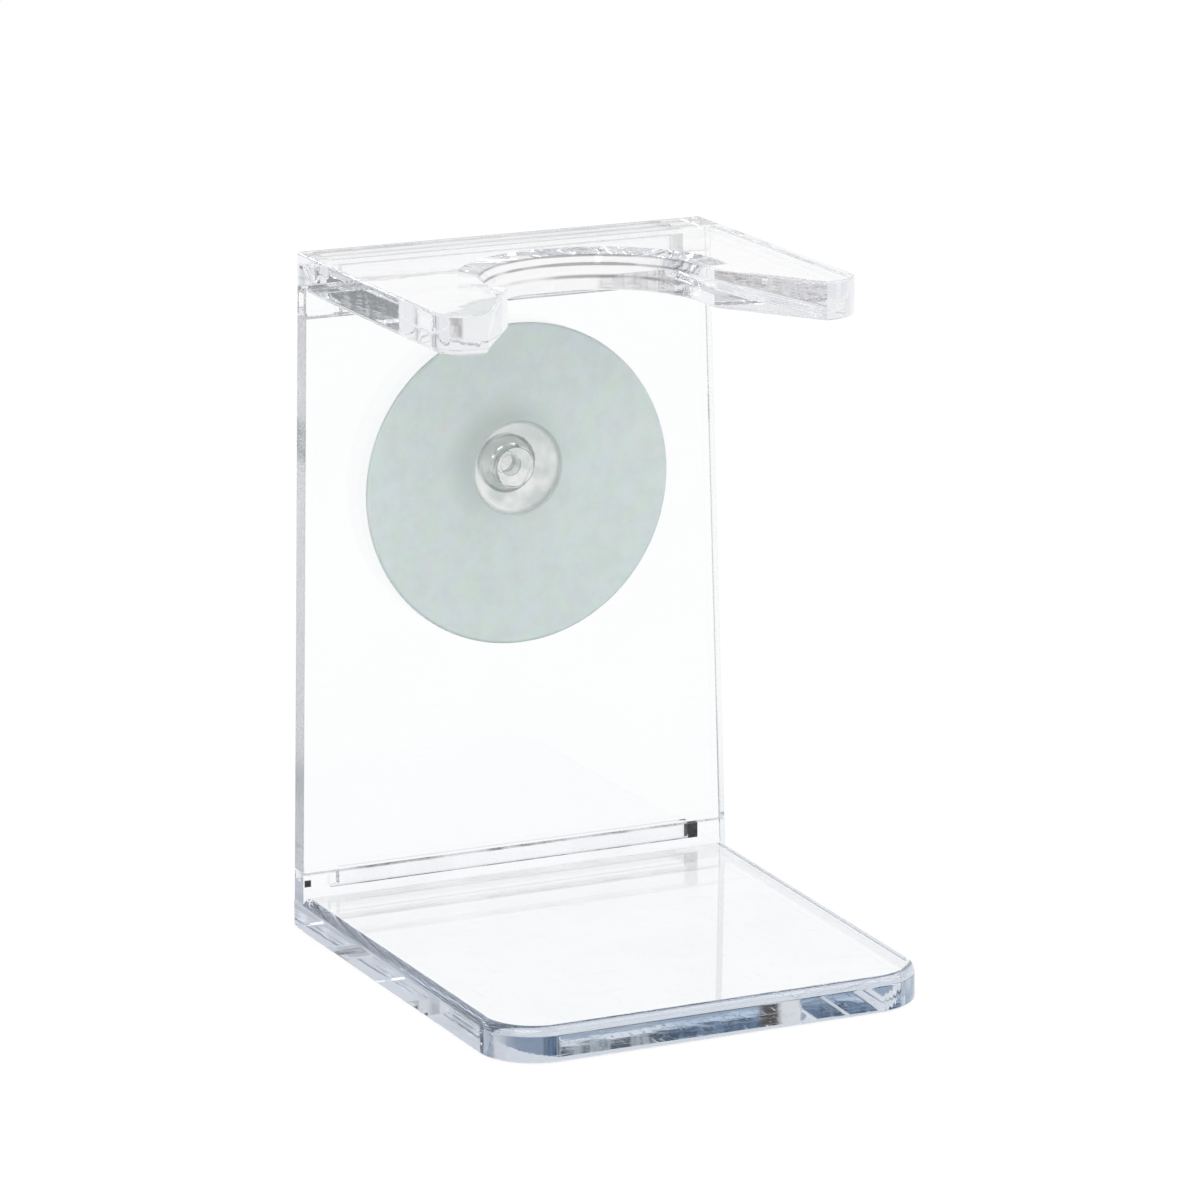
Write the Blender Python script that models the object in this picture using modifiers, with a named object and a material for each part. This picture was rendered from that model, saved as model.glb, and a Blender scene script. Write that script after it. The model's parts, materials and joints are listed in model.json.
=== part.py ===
"""Clear acrylic shaving brush stand with a soft suction cup on its back panel.

Three clear mouldings are joined by tongues and grooves: a base plate with an upstand, a
tapering back panel and a fork with a skirt. The soft cup turns in the panel's round hole.

Pieces are drawn with the panel's back face at y = 0 and the brush side towards -Y. An empty
then carries them all, so that the origin lies under the middle of the base plate. +Z is up.
"""

import math

import bmesh
import bpy
from mathutils import Matrix, Vector

MM = 0.001

# Overall size
HEIGHT = 105.0 * MM
FOOT_WIDTH = 72.0 * MM
HEAD_WIDTH = 66.8 * MM
HEAD_STEP = 0.1 * MM
PANEL_THICKNESS = 3.8 * MM

# Base plate, and the upstand at its rear
BASE_DEPTH = 77.0 * MM
BASE_FRONT_WIDTH = 69.0 * MM
BASE_THICKNESS = 5.3 * MM
BASE_CORNER_RADIUS = 9.0 * MM
BASE_TOP_ROUND = 1.4 * MM
BASE_FOOT_ROUND = 0.3 * MM
UPSTAND_HEIGHT = 3.8 * MM

# Fork plate, and the skirt under its rear
FORK_DEPTH = 56.5 * MM
FORK_THICKNESS = 5.9 * MM
FORK_CORNER_RADIUS = 5.5 * MM
FORK_TOP_ROUND = 0.4 * MM
FORK_UNDER_ROUND = 1.0 * MM
SKIRT_HEIGHT = 3.4 * MM

# Opening for the brush: a round back, straight cheeks and a flared mouth
OPENING_SETBACK = 34.5 * MM
OPENING_RADIUS = 16.6 * MM
CHEEK_LENGTH = 5.5 * MM
TIP_WIDTH = 6.6 * MM

# Seat for the brush's handle: a shallow cone with a steeper lip, ended by a stop on each arm
SEAT_WIDTH = 3.2 * MM
SEAT_DEPTH = 0.6 * MM
SEAT_REACH = 3.0 * MM
LIP_WIDTH = 0.5 * MM
LIP_DEPTH = 1.3 * MM

# Tongues on the panel, and the grooves that take them
GROOVE_INSET = 4.6 * MM
GROOVE_WIDTH = 2.0 * MM
GROOVE_DEPTH = 2.6 * MM
TONGUE_END_PLAY = 1.6 * MM
CEMENT_GAP = 0.3 * MM

# Suction cup
CUP_RADIUS = 25.0 * MM
CUP_DROP = 2.4 * MM
CUP_HEADROOM = 2.1 * MM
CUP_EDGE_THICKNESS = 1.1 * MM
CUP_HOLLOW = 0.5 * MM
CUP_BACK_GAP = 0.9 * MM
BOSS_RADIUS = 7.25 * MM
BOSS_SINK = 0.15 * MM
BOSS_GAP = 0.3 * MM
NECK_RADIUS = 3.0 * MM
NECK_CLEARANCE = 0.08 * MM
BUTTON_OVERHANG = 1.6 * MM
BUTTON_HEIGHT = 2.2 * MM
CORE_RADIUS = 1.7 * MM
CORE_DEPTH = 3.9 * MM

# Places that follow from the sizes above
PANEL_TOP_WIDTH = HEAD_WIDTH - 2 * HEAD_STEP
LOWER_SEAM = BASE_THICKNESS + UPSTAND_HEIGHT
FORK_UNDERSIDE = HEIGHT - FORK_THICKNESS
UPPER_SEAM = FORK_UNDERSIDE - SKIRT_HEIGHT
CUP_AXIS_Z = FORK_UNDERSIDE - CUP_HEADROOM - CUP_RADIUS - CUP_DROP

ROUND_STEPS = 64
CORNER_STEPS = 12
RIM_STEPS = 10
OVERLAP = 1.0 * MM
SAME = 1e-6


def clear_scene():
    for obj in list(bpy.data.objects):
        bpy.data.objects.remove(obj, do_unlink=True)


def new_collection(name):
    collection = bpy.data.collections.new(name)
    bpy.context.scene.collection.children.link(collection)
    return collection


def plastic(name, colour, roughness, transmission, ior):
    """A Principled material for a clear or translucent plastic."""
    made = bpy.data.materials.new(name)
    made.use_nodes = True
    made.diffuse_color = colour
    shader = made.node_tree.nodes["Principled BSDF"]
    shader.inputs["Base Color"].default_value = colour
    shader.inputs["Roughness"].default_value = roughness
    shader.inputs["Metallic"].default_value = 0.0
    shader.inputs["Transmission Weight"].default_value = transmission
    shader.inputs["IOR"].default_value = ior
    return made


def clear_acrylic():
    return plastic("clear_acrylic", (0.955, 0.97, 0.98, 1.0), 0.02, 1.0, 1.49)


def soft_vinyl():
    return plastic("soft_vinyl", (0.70, 0.77, 0.75, 1.0), 0.35, 0.5, 1.53)


def panel_half_width(z):
    """Half the panel's width, which narrows evenly from the ground to the top."""
    return 0.5 * (FOOT_WIDTH + (PANEL_TOP_WIDTH - FOOT_WIDTH) * z / HEIGHT)


def arc(centre, radius, start, end, steps=CORNER_STEPS):
    """Points along an arc in a plane, from the angle start to the angle end, in degrees."""
    angles = [math.radians(start + (end - start) * i / steps) for i in range(steps + 1)]
    return [(centre[0] + radius * math.cos(a), centre[1] + radius * math.sin(a)) for a in angles]


def link_mesh(name, mesh, collection):
    obj = bpy.data.objects.new(name, mesh)
    collection.objects.link(obj)
    return obj


def close_mesh(mesh):
    """Welds caps to walls, takes out needless flat edges and turns every face outwards."""
    work = bmesh.new()
    work.from_mesh(mesh)
    bmesh.ops.remove_doubles(work, verts=work.verts, dist=SAME)
    bmesh.ops.dissolve_limit(work, angle_limit=math.radians(0.5), verts=work.verts, edges=work.edges)
    bmesh.ops.recalc_face_normals(work, faces=work.faces)
    work.to_mesh(mesh)
    work.free()


def weld(mesh):
    """Merges the points that a Boolean leaves on top of each other."""
    work = bmesh.new()
    work.from_mesh(mesh)
    bmesh.ops.remove_doubles(work, verts=work.verts, dist=SAME)
    bmesh.ops.dissolve_degenerate(work, dist=SAME, edges=work.edges)
    work.to_mesh(mesh)
    work.free()


def flat_outline(name, points, thickness, matrix, collection):
    """A solid from a closed outline in its own XY plane, thickened along its Z from 0."""
    curve = bpy.data.curves.new(name, "CURVE")
    curve.dimensions = "2D"
    curve.fill_mode = "BOTH"
    curve.extrude = thickness / 2
    spline = curve.splines.new("POLY")
    spline.points.add(len(points) - 1)
    for slot, (x, y) in zip(spline.points, points):
        slot.co = (x, y, 0.0, 1.0)
    spline.use_cyclic_u = True
    outline = bpy.data.objects.new(name + "_outline", curve)
    collection.objects.link(outline)
    bpy.context.view_layer.update()
    evaluated = outline.evaluated_get(bpy.context.evaluated_depsgraph_get())
    mesh = bpy.data.meshes.new_from_object(evaluated)
    bpy.data.objects.remove(outline, do_unlink=True)
    mesh.transform(matrix @ Matrix.Translation((0.0, 0.0, thickness / 2)))
    close_mesh(mesh)
    return link_mesh(name, mesh, collection)


def turned(name, profile, collection):
    """A solid of revolution about its own Z. The profile runs from the axis's top to its foot."""
    edges = [(i, i + 1) for i in range(len(profile) - 1)]
    mesh = bpy.data.meshes.new(name)
    mesh.from_pydata([(r, 0.0, z) for r, z in profile], edges, [])
    obj = link_mesh(name, mesh, collection)
    screw = obj.modifiers.new("turn", "SCREW")
    screw.axis = "Z"
    screw.angle = math.tau
    screw.steps = ROUND_STEPS
    screw.render_steps = ROUND_STEPS
    screw.use_merge_vertices = True
    screw.merge_threshold = SAME
    apply_modifiers(obj)
    return obj


def box(name, low, high, collection):
    """An upright box between two opposite corners."""
    mesh = bpy.data.meshes.new(name)
    work = bmesh.new()
    bmesh.ops.create_cube(work, size=1.0)
    bmesh.ops.scale(work, vec=Vector(high) - Vector(low), verts=work.verts)
    bmesh.ops.translate(work, vec=(Vector(low) + Vector(high)) / 2, verts=work.verts)
    work.to_mesh(mesh)
    work.free()
    return link_mesh(name, mesh, collection)


def apply_modifiers(obj):
    bpy.context.view_layer.update()
    evaluated = obj.evaluated_get(bpy.context.evaluated_depsgraph_get())
    mesh = bpy.data.meshes.new_from_object(evaluated)
    obj.modifiers.clear()
    obj.data = mesh


def boolean(target, tool, operation):
    modifier = target.modifiers.new(tool.name, "BOOLEAN")
    modifier.operation = operation
    modifier.solver = "EXACT"
    modifier.object = tool
    apply_modifiers(target)
    weld(target.data)


def join(target, tool):
    boolean(target, tool, "UNION")
    bpy.data.objects.remove(tool, do_unlink=True)


def cut(target, tool):
    boolean(target, tool, "DIFFERENCE")


def round_edges(obj, radius, z, chosen):
    """Rounds the edges that lie level at the height z and for which chosen(end, end) is true."""
    work = bmesh.new()
    work.from_mesh(obj.data)
    rim = []
    for edge in work.edges:
        ends = [vert.co for vert in edge.verts]
        if all(abs(end.z - z) < SAME for end in ends) and chosen(*ends):
            rim.append(edge)
    bmesh.ops.bevel(
        work,
        geom=rim,
        offset=radius,
        offset_type="OFFSET",
        segments=RIM_STEPS,
        profile=0.5,
        affect="EDGES",
        clamp_overlap=True,
    )
    bmesh.ops.recalc_face_normals(work, faces=work.faces)
    work.to_mesh(obj.data)
    work.free()


def finish(obj, look, sharp_angle):
    """Gives a piece its material, and smooth shading between edges sharper than the angle."""
    obj.data.materials.clear()
    obj.data.materials.append(look)
    obj.data.shade_smooth()
    obj.data.set_sharp_from_angle(angle=math.radians(sharp_angle))


def upright():
    """Stands an outline up: X stays X, Y becomes Z and the thickness runs from y = 0 to -Y."""
    return Matrix(((1, 0, 0), (0, 0, -1), (0, 1, 0))).to_4x4()


def panel_slab(name, heights, collection):
    """A slab in the panel's own plane, from the first height to the last, as wide as the panel."""
    right = [(panel_half_width(z), z) for z in heights]
    left = [(-x, z) for x, z in reversed(right)]
    return flat_outline(name, right + left, PANEL_THICKNESS, upright(), collection)


def tongue_space(name, seam, low, high, end_play, side_gap, collection):
    """A groove at a seam or, with play and gaps, the tongue that fits it."""
    middle = -PANEL_THICKNESS / 2
    half_length = panel_half_width(seam) - GROOVE_INSET - end_play
    half_width = GROOVE_WIDTH / 2 - side_gap
    near = (-half_length, middle - half_width, low)
    far = (half_length, middle + half_width, high)
    return box(name, near, far, collection)


def base_outline():
    """The base plate seen from above: square at the rear and rounded at the front corners."""
    back = FOOT_WIDTH / 2
    front = BASE_FRONT_WIDTH / 2
    radius = BASE_CORNER_RADIUS
    slope = (back - front) / (BASE_DEPTH - PANEL_THICKNESS)
    lean = math.atan(slope)
    centre_x = front + slope * radius - radius / math.cos(lean)
    corner = arc((centre_x, radius - BASE_DEPTH), radius, -math.degrees(lean), -90.0)
    right = [(back, 0.0), (back, -PANEL_THICKNESS)] + corner
    return right + [(-x, y) for x, y in reversed(right)]


def make_base(parts, cutters, look):
    """Base plate with rounded edges, and an upstand with the groove for the panel's foot."""
    base = flat_outline("base_tray", base_outline(), BASE_THICKNESS, Matrix(), parts)

    def not_rear(first, second):
        return min(first.y, second.y) < -SAME

    round_edges(base, BASE_TOP_ROUND, BASE_THICKNESS, not_rear)
    round_edges(base, BASE_FOOT_ROUND, 0.0, not_rear)
    join(base, panel_slab("upstand", [BASE_THICKNESS / 2, LOWER_SEAM], parts))
    floor = LOWER_SEAM - GROOVE_DEPTH
    cut(base, tongue_space("lower_groove", LOWER_SEAM, floor, LOWER_SEAM + OVERLAP, 0.0, 0.0, cutters))
    finish(base, look, 12)
    return base


def make_panel(parts, cutters, look):
    """Back panel between the seams, with a tongue at each end and the hole for the cup."""
    low = LOWER_SEAM + CEMENT_GAP
    high = UPPER_SEAM - CEMENT_GAP
    reach = GROOVE_DEPTH - CEMENT_GAP
    play = TONGUE_END_PLAY
    panel = panel_slab("back_panel", [low, high], parts)
    foot = tongue_space("foot", LOWER_SEAM, LOWER_SEAM - reach, low + OVERLAP, play, CEMENT_GAP, parts)
    join(panel, foot)
    head = tongue_space("head", UPPER_SEAM, high - OVERLAP, UPPER_SEAM + reach, play, CEMENT_GAP, parts)
    join(panel, head)
    radius = NECK_RADIUS + NECK_CLEARANCE
    length = PANEL_THICKNESS + 2 * OVERLAP
    hole = turned("cup_hole", [(0.0, length), (radius, length), (radius, 0.0), (0.0, 0.0)], cutters)
    hole.data.transform(upright())
    hole.data.transform(Matrix.Translation((0.0, OVERLAP, CUP_AXIS_Z)))
    cut(panel, hole)
    finish(panel, look, 12)
    return panel


def fork_outline():
    """The fork seen from above, a plate with a round opening, straight cheeks and a flared mouth."""
    half = HEAD_WIDTH / 2
    radius = min(FORK_CORNER_RADIUS, TIP_WIDTH)
    corner = arc((half - radius, radius - FORK_DEPTH), radius, 0.0, -90.0)
    mouth = (half - TIP_WIDTH, -FORK_DEPTH)
    throat = (OPENING_RADIUS, -OPENING_SETBACK - CHEEK_LENGTH)
    right = [(half, 0.0)] + corner + [mouth, throat]
    round_back = arc((0.0, -OPENING_SETBACK), OPENING_RADIUS, 0.0, 180.0, ROUND_STEPS // 2)
    return right + round_back + [(-x, y) for x, y in reversed(right)]


def seat_cutter(cutters):
    """The space of the seat: a cone and its lip, cut off straight in front to leave the stops."""
    lip = OPENING_RADIUS + LIP_WIDTH
    rise = SEAT_WIDTH * OVERLAP / SEAT_DEPTH
    fall = LIP_DEPTH * OVERLAP / LIP_WIDTH
    profile = [
        (0.0, HEIGHT + OVERLAP),
        (lip + SEAT_WIDTH + rise, HEIGHT + OVERLAP),
        (lip, HEIGHT - SEAT_DEPTH),
        (OPENING_RADIUS - OVERLAP, HEIGHT - SEAT_DEPTH - LIP_DEPTH - fall),
        (0.0, HEIGHT - SEAT_DEPTH - LIP_DEPTH - fall),
    ]
    seat = turned("seat", profile, cutters)
    seat.data.transform(Matrix.Translation((0.0, -OPENING_SETBACK, 0.0)))
    reach = lip + SEAT_WIDTH + rise + OVERLAP
    near = (-reach, -OPENING_SETBACK - reach, HEIGHT - SEAT_DEPTH - LIP_DEPTH - fall - OVERLAP)
    far = (reach, -OPENING_SETBACK - SEAT_REACH, HEIGHT + 2 * OVERLAP)
    cut(seat, box("seat_stops", near, far, cutters))
    return seat


def make_fork(parts, cutters, look):
    """Fork plate with the brush's seat, and a skirt with the groove for the panel's head."""
    fork = flat_outline(
        "brush_fork",
        fork_outline(),
        FORK_THICKNESS,
        Matrix.Translation((0.0, 0.0, FORK_UNDERSIDE)),
        parts,
    )
    cut(fork, seat_cutter(cutters))
    half = HEAD_WIDTH / 2

    def outer(first, second):
        """True on the sides, the round front corners and the tips' front faces."""
        reach = min(abs(first.x), abs(second.x))
        in_front = max(first.y, second.y) < FORK_CORNER_RADIUS - FORK_DEPTH + SAME
        not_rear = min(first.y, second.y) < -SAME
        return not_rear and (reach > half - SAME or (in_front and reach > half - TIP_WIDTH - SAME))

    round_edges(fork, FORK_TOP_ROUND, HEIGHT, outer)
    round_edges(fork, FORK_UNDER_ROUND, FORK_UNDERSIDE, outer)
    skirt_top = HEIGHT - FORK_THICKNESS / 3
    join(fork, panel_slab("skirt", [UPPER_SEAM, skirt_top], parts))
    roof = UPPER_SEAM + GROOVE_DEPTH
    cut(fork, tongue_space("upper_groove", UPPER_SEAM, UPPER_SEAM - OVERLAP, roof, 0.0, 0.0, cutters))
    finish(fork, look, 9.5)
    return fork


def cup_disc(parts):
    """The thin disc, lower than the turning axis, with a rounded rim and a shallow hollow front."""
    back = PANEL_THICKNESS + CUP_BACK_GAP
    front = back + CUP_EDGE_THICKNESS
    edge = CUP_EDGE_THICKNESS / 2
    rim = arc((CUP_RADIUS - edge, back + edge), edge, 90.0, -90.0, RIM_STEPS)
    hollow = [(CUP_RADIUS * s, front - CUP_HOLLOW * (1 - s**4)) for s in (0.0, 0.3, 0.5, 0.65, 0.8, 0.9)]
    disc = turned("suction_cup", hollow + rim + [(0.0, back)], parts)
    disc.data.transform(Matrix.Translation((0.0, -CUP_DROP, 0.0)))
    return disc


def cup_stem(parts):
    """The boss behind the disc, the neck in the panel's hole, and the hollow button at the back."""
    face = PANEL_THICKNESS + CUP_BACK_GAP + CUP_EDGE_THICKNESS - CUP_HOLLOW - BOSS_SINK
    shoulder = PANEL_THICKNESS + BOSS_GAP
    button = NECK_RADIUS + BUTTON_OVERHANG
    end = -BOSS_GAP - BUTTON_HEIGHT
    round_end = arc((button - BUTTON_HEIGHT / 2, end + BUTTON_HEIGHT / 2), BUTTON_HEIGHT / 2, 0.0, -90.0, 6)
    profile = [
        (0.0, face),
        (BOSS_RADIUS, face),
        (BOSS_RADIUS, shoulder),
        (NECK_RADIUS, shoulder),
        (NECK_RADIUS, -BOSS_GAP),
        (button, -BOSS_GAP),
        *round_end,
        (CORE_RADIUS, end),
        (CORE_RADIUS, end + CORE_DEPTH),
        (0.0, end + CORE_DEPTH),
    ]
    return turned("stem", profile, parts)


def make_cup(parts, look):
    """Soft suction cup in one moulding. Its origin is on the axis of the hole that it turns in."""
    cup = cup_disc(parts)
    join(cup, cup_stem(parts))
    cup.location = (0.0, 0.0, CUP_AXIS_Z)
    cup.rotation_euler = (math.radians(90), 0.0, 0.0)
    finish(cup, look, 20)
    return cup


def main():
    clear_scene()
    parts = new_collection("shaving_brush_stand")
    cutters = new_collection("cutters")
    acrylic = clear_acrylic()
    pieces = [
        make_base(parts, cutters, acrylic),
        make_panel(parts, cutters, acrylic),
        make_fork(parts, cutters, acrylic),
        make_cup(parts, soft_vinyl()),
    ]
    carrier = bpy.data.objects.new("stand_frame", None)
    parts.objects.link(carrier)
    carrier.location = (0.0, BASE_DEPTH / 2, 0.0)
    for piece in pieces:
        piece.parent = carrier
    for tool in cutters.objects:
        tool.hide_render = True
        tool.display_type = "WIRE"


main()
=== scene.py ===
import json
import math

import bmesh
import bpy
import numpy as np
from mathutils import Matrix, Vector


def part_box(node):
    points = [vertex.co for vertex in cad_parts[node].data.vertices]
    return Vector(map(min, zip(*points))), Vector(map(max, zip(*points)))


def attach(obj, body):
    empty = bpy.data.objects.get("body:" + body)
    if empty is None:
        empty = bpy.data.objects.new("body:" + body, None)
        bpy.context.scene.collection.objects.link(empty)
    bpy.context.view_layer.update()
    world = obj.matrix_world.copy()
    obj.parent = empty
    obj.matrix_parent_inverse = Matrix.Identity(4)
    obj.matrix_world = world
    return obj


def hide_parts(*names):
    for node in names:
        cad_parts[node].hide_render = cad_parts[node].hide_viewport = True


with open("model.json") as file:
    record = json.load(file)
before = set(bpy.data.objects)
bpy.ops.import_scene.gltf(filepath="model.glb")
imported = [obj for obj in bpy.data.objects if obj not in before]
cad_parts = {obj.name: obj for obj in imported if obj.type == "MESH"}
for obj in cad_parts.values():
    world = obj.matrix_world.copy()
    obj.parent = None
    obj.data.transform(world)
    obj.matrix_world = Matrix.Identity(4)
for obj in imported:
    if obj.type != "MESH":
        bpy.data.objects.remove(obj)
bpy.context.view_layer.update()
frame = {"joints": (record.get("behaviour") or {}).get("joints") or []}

bl_info = {
    "name": "Acrylic shaving brush stand",
    "version": (1, 0, 0),
    "blender": (4, 5, 0),
    "location": "3D View > Sidebar > Brush Stand",
    "description": "Builds a clear brush stand with a soft suction cup, and its studio",
    "category": "Add Mesh",
}

MM = 0.001
HAIR = 0.01 * MM
MERGE = 0.001 * MM
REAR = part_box("back_panel")[1].y
PANEL_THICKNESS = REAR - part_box("back_panel")[0].y
PANEL_FRONT = REAR - PANEL_THICKNESS
PANEL_MIDDLE = (PANEL_FRONT + REAR) / 2
BASE_LOW, BASE_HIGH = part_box("base_tray")
FORK_LOW, FORK_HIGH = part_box("brush_fork")
CUP_JOINT = next(joint for joint in frame["joints"] if joint["name"] == "cup_turn")
CUP_AXIS = Vector(CUP_JOINT["pos_m"])

# Looks. The drop is of cement, on the front near the lower seam's left end
ACRYLIC_IOR = 1.49
VINYL_IOR = 1.53
DROP_X = -35.1 * MM
DROP_Z = 7.7 * MM
WHITE = (1.0, 1.0, 1.0, 1.0)


# Meshes


def mesh_from_loops(name, loops):
    """A closed body from rows of closed loops, given as an array of (row, column, xyz).

    Each row is joined to the next by quads, and the first and the last row are filled with one
    flat polygon each. Points that coincide, as at a pole or a step, are merged afterwards.
    """
    rows, columns, _ = loops.shape
    index = np.arange(rows * columns).reshape(rows, columns)
    here = index[:-1]
    above = index[1:]
    quads = np.stack([here, np.roll(here, -1, 1), np.roll(above, -1, 1), above], -1).reshape(-1, 4)
    mesh = bpy.data.meshes.new(name)
    caps = [index[0, ::-1].tolist(), index[-1].tolist()]
    mesh.from_pydata(loops.reshape(-1, 3).tolist(), [], quads.tolist() + caps)
    close(mesh)
    return mesh


def close(mesh):
    """Merges points that coincide, drops faces with no area and turns all faces outwards."""
    work = bmesh.new()
    work.from_mesh(mesh)
    bmesh.ops.remove_doubles(work, verts=work.verts, dist=MERGE)
    bmesh.ops.dissolve_degenerate(work, dist=MERGE, edges=work.edges)
    bmesh.ops.recalc_face_normals(work, faces=work.faces)
    if work.calc_volume(signed=True) < 0:
        bmesh.ops.reverse_faces(work, faces=work.faces)
    work.to_mesh(mesh)
    work.free()


def new_piece(name, loops):
    """Adds an object with the closed body of these loops."""
    piece = bpy.data.objects.new(name, mesh_from_loops(name, loops))
    bpy.context.scene.collection.objects.link(piece)
    return piece


def applied(piece):
    """Replaces the piece's mesh with what its modifiers make of it."""
    bpy.context.view_layer.update()
    evaluated = piece.evaluated_get(bpy.context.evaluated_depsgraph_get())
    mesh = bpy.data.meshes.new_from_object(evaluated)
    piece.modifiers.clear()
    piece.data = mesh


def combine(piece, tool, operation):
    """Joins the tool to the piece or cuts it out, and removes the tool."""
    modifier = piece.modifiers.new(operation.lower(), "BOOLEAN")
    modifier.operation = operation
    modifier.solver = "EXACT"
    modifier.object = tool
    applied(piece)
    close(piece.data)
    bpy.data.objects.remove(tool, do_unlink=True)
    if not piece.data.polygons:
        raise RuntimeError(f"{piece.name} lost all its faces in a {operation.lower()}")


def dress(piece, material, body, node, sharp=32, flats=True):
    """Shades the piece, gives it its material and puts it in place of its CAD node.

    With flats, the largest face at a corner sets the normal there alone, so a polished flat stays
    flat up to its rounded edge and the light passes it as it passes a real pane.
    """
    piece.data.materials.clear()
    piece.data.materials.append(material)
    piece.data.shade_smooth()
    piece.data.set_sharp_from_angle(angle=math.radians(sharp))
    weighted = piece.modifiers.new("even normals", "WEIGHTED_NORMAL")
    weighted.keep_sharp = True
    weighted.weight = 100 if flats else 80
    weighted.thresh = 0.0 if flats else 0.01
    applied(piece)
    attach(piece, body)
    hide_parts(node)


def quarter(radius, count):
    """(inset, rise) of a quarter round, from the flat to the wall: r - r sin t, r - r cos t."""
    t = np.linspace(0, math.pi / 2, count)
    return np.stack([radius * (1 - np.sin(t)), radius * (1 - np.cos(t))], -1)


def corner(centre, radius, start, end, count=5):
    """Points (x, y) and inward unit vectors on an arc, from one angle to another in degrees."""
    t = np.radians(np.linspace(start, end, count))
    out = np.stack([np.cos(t), np.sin(t)], -1)
    return np.asarray(centre) + radius * out, -out


def panel_section(half_width, radius):
    """Points (x, y) of a rounded rectangle, from the panel's front to its rear."""
    x = half_width - radius
    front = PANEL_FRONT + radius
    rear = REAR - radius
    parts = [
        corner((x, rear), radius, 90, 0),
        corner((x, front), radius, 0, -90),
        corner((-x, front), radius, -90, -180),
        corner((-x, rear), radius, 180, 90),
    ]
    return np.concatenate([points for points, _ in parts])


def swept(points, inward, rows):
    """Carries a profile round an outline: point + inward vector times inset, at height z."""
    inset = rows[:, None, :1]
    flat = points[None] + inward[None] * inset
    height = np.broadcast_to(rows[:, None, 1:], flat.shape[:2] + (1,))
    return np.concatenate([flat, height], -1)


def tapered_slab(name, sizes, low, high):
    """A slab in the panel's plane, as wide as the panel at each height, with broken edges."""
    loops = []
    for z in (low, high):
        points = panel_section(sizes.half_width(z), sizes.edge_break)
        loops.append(np.column_stack([points, np.full(len(points), z)]))
    return new_piece(name, np.array(loops))


def plain_block(name, low, high):
    """A block between two corners, as two loops of four points."""
    x = np.array([low[0], high[0], high[0], low[0]])
    y = np.array([low[1], low[1], high[1], high[1]])
    loops = [np.column_stack([x, y, np.full(4, z)]) for z in (low[2], high[2])]
    return new_piece(name, np.array(loops))


def tongue_block(name, sizes, seam, low, high, end_play=0.0, side_gap=0.0):
    """A groove at a seam or, with play and gaps, the tongue that fits it."""
    half_length = sizes.half_width(seam) - sizes.groove_inset - end_play
    half = sizes.groove_width / 2 - side_gap
    near = (-half_length, PANEL_MIDDLE - half, low)
    far = (half_length, PANEL_MIDDLE + half, high)
    return plain_block(name, near, far)


def groove_seam(sizes, height, low, high, amount):
    """A seam's cement: height, reach of tongue and of groove, lowest, highest and amount."""
    groove = sizes.half_width(height) - sizes.groove_inset
    return height, groove - sizes.end_play, groove, low, high, amount


def revolved(profile, centre_drop, count):
    """Circles about the cup's turning axis: radius, distance behind the panel's back, and drop.

    Row v is a circle of radius r(v) in the plane y = rear + d(v). Its centre lies drop(v) below
    the axis, so that one surface runs from the axis-centred stem to the off-centre disc.
    """
    t = np.linspace(0, 2 * math.pi, count, endpoint=False)
    radius = profile[:, 0][:, None]
    x = CUP_AXIS.x + radius * np.cos(t)[None]
    z = CUP_AXIS.z - centre_drop[:, None] + radius * np.sin(t)[None]
    y = np.broadcast_to(REAR + profile[:, 1][:, None], x.shape)
    return np.stack([x, y, z], -1)


# Shader maths


class Value:
    """A socket in a node tree, which adds Math nodes when it is used in an expression."""

    def __init__(self, tree, socket):
        self.tree = tree
        self.socket = socket

    def _maths(self, operation, first, second):
        return self.tree.node("ShaderNodeMath", {"operation": operation}, {0: first, 1: second})

    def __add__(self, other):
        return self._maths("ADD", self, other)

    def __sub__(self, other):
        return self._maths("SUBTRACT", self, other)

    def __rsub__(self, other):
        return self._maths("SUBTRACT", other, self)

    def __mul__(self, other):
        return self._maths("MULTIPLY", self, other)

    def __truediv__(self, other):
        return self._maths("DIVIDE", self, other)

    def __pow__(self, other):
        return self._maths("POWER", self, other)

    def above(self, other):
        return self._maths("GREATER_THAN", self, other)

    def largest(self, other):
        return self._maths("MAXIMUM", self, other)

    def smallest(self, other):
        return self._maths("MINIMUM", self, other)

    def size(self):
        return self._maths("ABSOLUTE", self, 0.0)


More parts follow.
